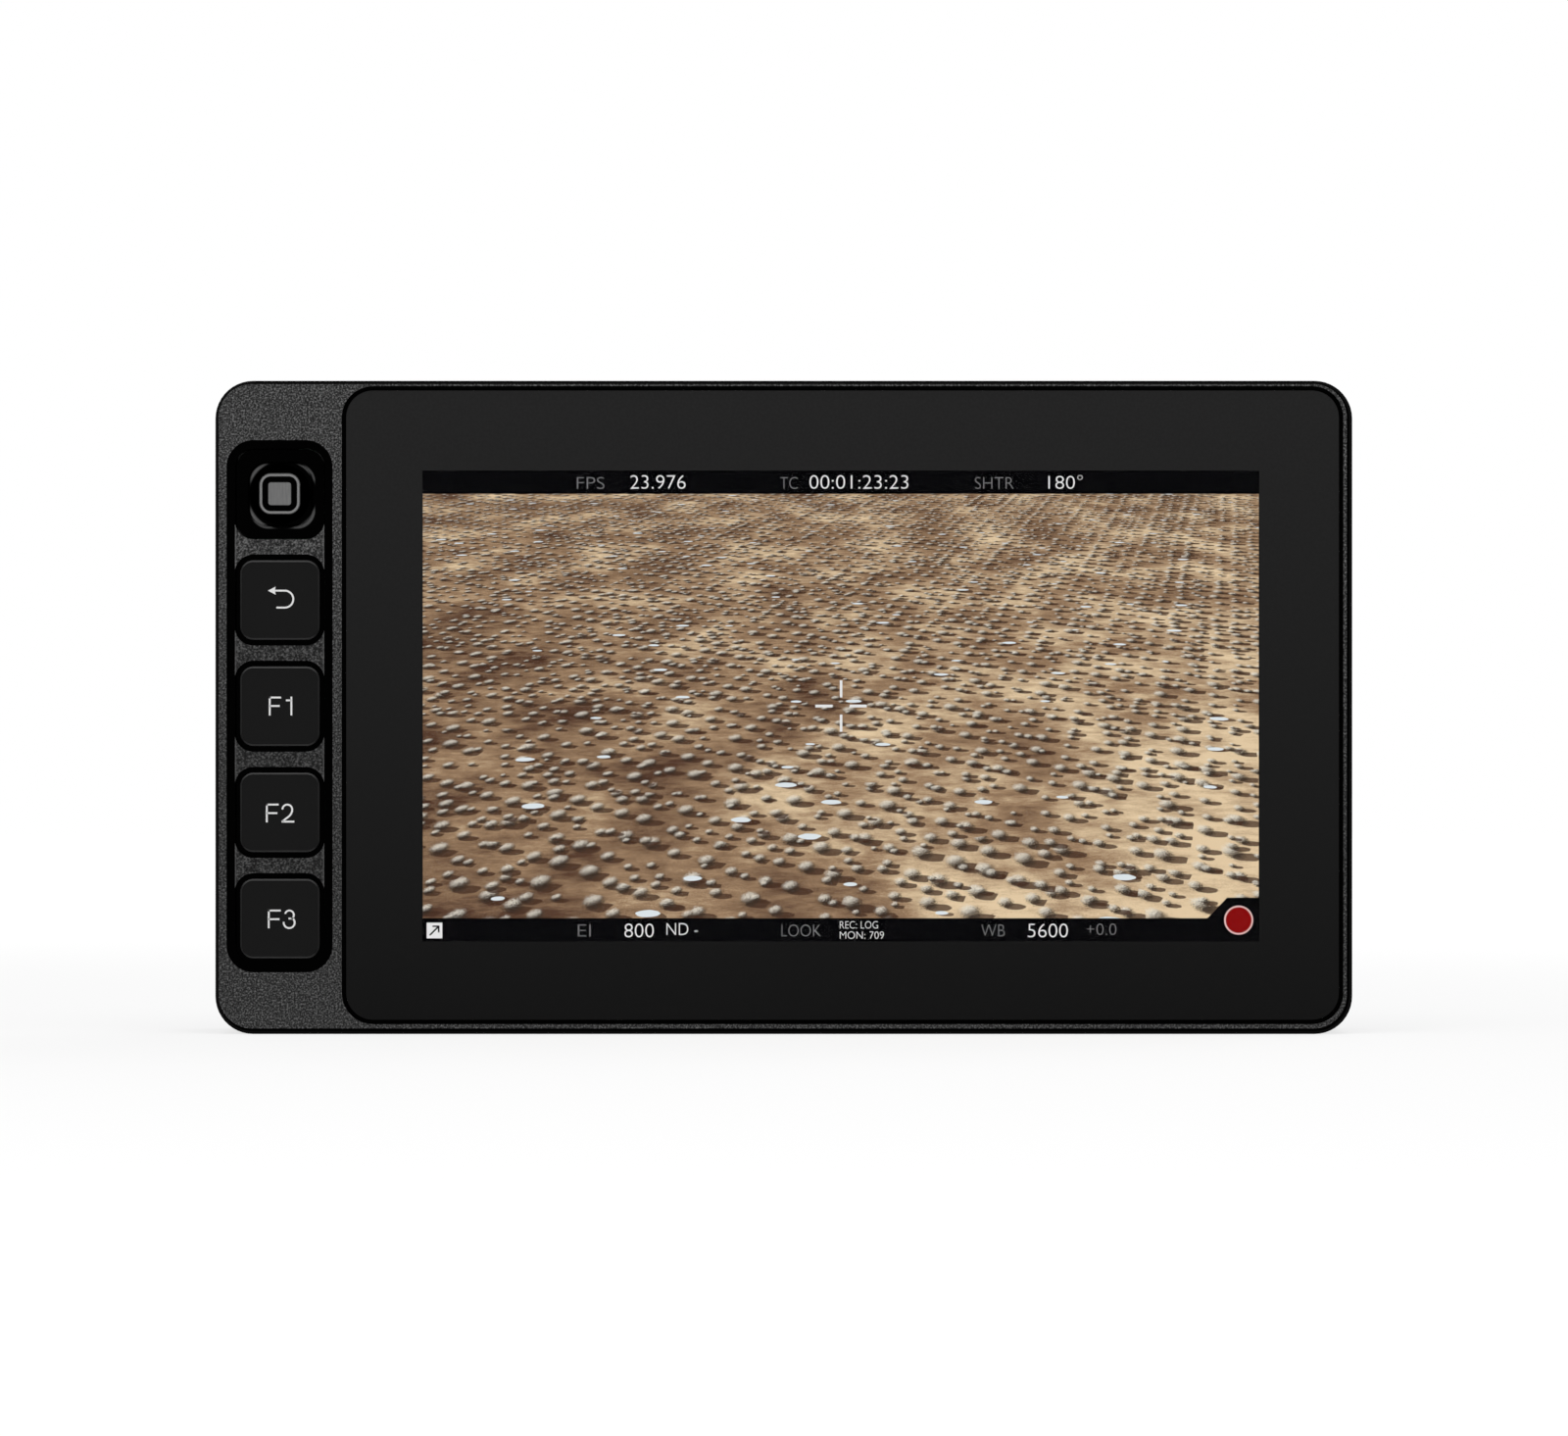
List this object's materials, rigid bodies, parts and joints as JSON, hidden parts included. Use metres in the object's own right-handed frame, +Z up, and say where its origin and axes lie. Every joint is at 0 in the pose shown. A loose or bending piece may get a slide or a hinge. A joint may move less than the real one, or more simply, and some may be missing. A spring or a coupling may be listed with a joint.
{
  "type": "camera field monitor",
  "caption": "Five inch on-camera field monitor: textured metal housing, bonded display, key column with joystick, side sockets and rear battery plate.",
  "frame": {"origin": "under the middle of the body, on the plane it stands on", "axes": "+X across the screen to the viewer's right, -Y out of the screen, +Z up"},
  "size_m": [0.1504, 0.025, 0.0864],
  "materials": {
    "housing": "black textured powder coat",
    "cover": "black textured powder coat",
    "glass": "anti-glare, smoke",
    "ink": "printed black border",
    "clear_bond": "clear",
    "rubber": "matt",
    "display": "lit picture",
    "white_film": "diffuse",
    "sheet_metal": "mill finish",
    "key_plastic": "smooth satin black",
    "dark_plastic": "moulded black",
    "stick_cap": "satin grey",
    "steel": "turned",
    "spring_steel": "drawn",
    "brass": "plated",
    "circuit_board": "green solder mask",
    "chip": "moulded",
    "thermal_pad": "soft grey",
    "black_steel": "black oxide"
  },
  "bodies": {
    "chassis": {"front_housing": "housing", "cover_glass": "glass", "border_mask": "ink", "bond_layer": "clear_bond", "glass_gasket": "rubber", "display_cell": "display", "backlight": "white_film", "display_tray": "sheet_metal", "mid_frame": "sheet_metal", "frame_screws": "steel", "key_switches": "chip", "key_board": "circuit_board", "key_board_screws": "steel", "joystick_bezel": "dark_plastic", "joystick_base": "dark_plastic", "joystick_switch": "chip", "power_switch": "chip", "main_board": "circuit_board", "board_screws": "steel", "board_chips": "chip", "processor": "chip", "thermal_pad": "thermal_pad", "video_in_socket": "steel", "video_out_socket": "steel", "data_socket": "steel", "audio_socket": "dark_plastic", "power_socket": "dark_plastic", "bottom_insert": "steel", "top_insert": "steel", "rear_cover": "cover", "cover_screws": "black_steel", "battery_plate": "dark_plastic", "plate_screws": "steel", "battery_contacts": "brass", "latch_spring": "spring_steel"},
    "back_key": {"key_back": "key_plastic"},
    "f1_key": {"key_f1": "key_plastic"},
    "f2_key": {"key_f2": "key_plastic"},
    "f3_key": {"key_f3": "key_plastic"},
    "gimbal_ring": {"joystick_ring": "steel"},
    "gimbal_hub": {"joystick_hub": "brass", "joystick_spring": "spring_steel"},
    "stick": {"joystick_cap": "stick_cap", "joystick_stem": "steel", "joystick_clip": "spring_steel"},
    "power_key": {"power_button": "dark_plastic"},
    "latch": {"battery_latch": "dark_plastic"}
  },
  "joints": [
    {"name": "back_key_press", "type": "slide", "parent": "chassis", "child": "back_key", "axis": [0, 1, 0], "range_m": [0, 0.0004], "stiffness_N_per_m": 1500},
    {"name": "f1_key_press", "type": "slide", "parent": "chassis", "child": "f1_key", "axis": [0, 1, 0], "range_m": [0, 0.0004], "stiffness_N_per_m": 1500},
    {"name": "f2_key_press", "type": "slide", "parent": "chassis", "child": "f2_key", "axis": [0, 1, 0], "range_m": [0, 0.0004], "stiffness_N_per_m": 1500},
    {"name": "f3_key_press", "type": "slide", "parent": "chassis", "child": "f3_key", "axis": [0, 1, 0], "range_m": [0, 0.0004], "stiffness_N_per_m": 1500},
    {"name": "joystick_tilt_up_down", "type": "hinge", "parent": "chassis", "child": "gimbal_ring", "pos_m": [-0.0667, -0.0059, 0.07146], "axis": [1, 0, 0], "range_deg": [-5, 5], "stiffness_Nm_per_rad": 0.03},
    {"name": "joystick_tilt_sideways", "type": "hinge", "parent": "gimbal_ring", "child": "gimbal_hub", "pos_m": [-0.0667, -0.0059, 0.07146], "axis": [0, 0, 1], "range_deg": [-5, 5], "stiffness_Nm_per_rad": 0.03},
    {"name": "joystick_press", "type": "slide", "parent": "gimbal_hub", "child": "stick", "axis": [0, 1, 0], "range_m": [0, 0.00025], "stiffness_N_per_m": 1500, "deforming": ["joystick_spring"]},
    {"name": "power_button_press", "type": "slide", "parent": "chassis", "child": "power_key", "axis": [0, 0, -1], "range_m": [0, 0.0005], "stiffness_N_per_m": 1000},
    {"name": "battery_latch_slide", "type": "slide", "parent": "chassis", "child": "latch", "axis": [0, -1, 0], "range_m": [0, 0.0016], "stiffness_N_per_m": 800, "deforming": ["latch_spring"]}
  ]
}
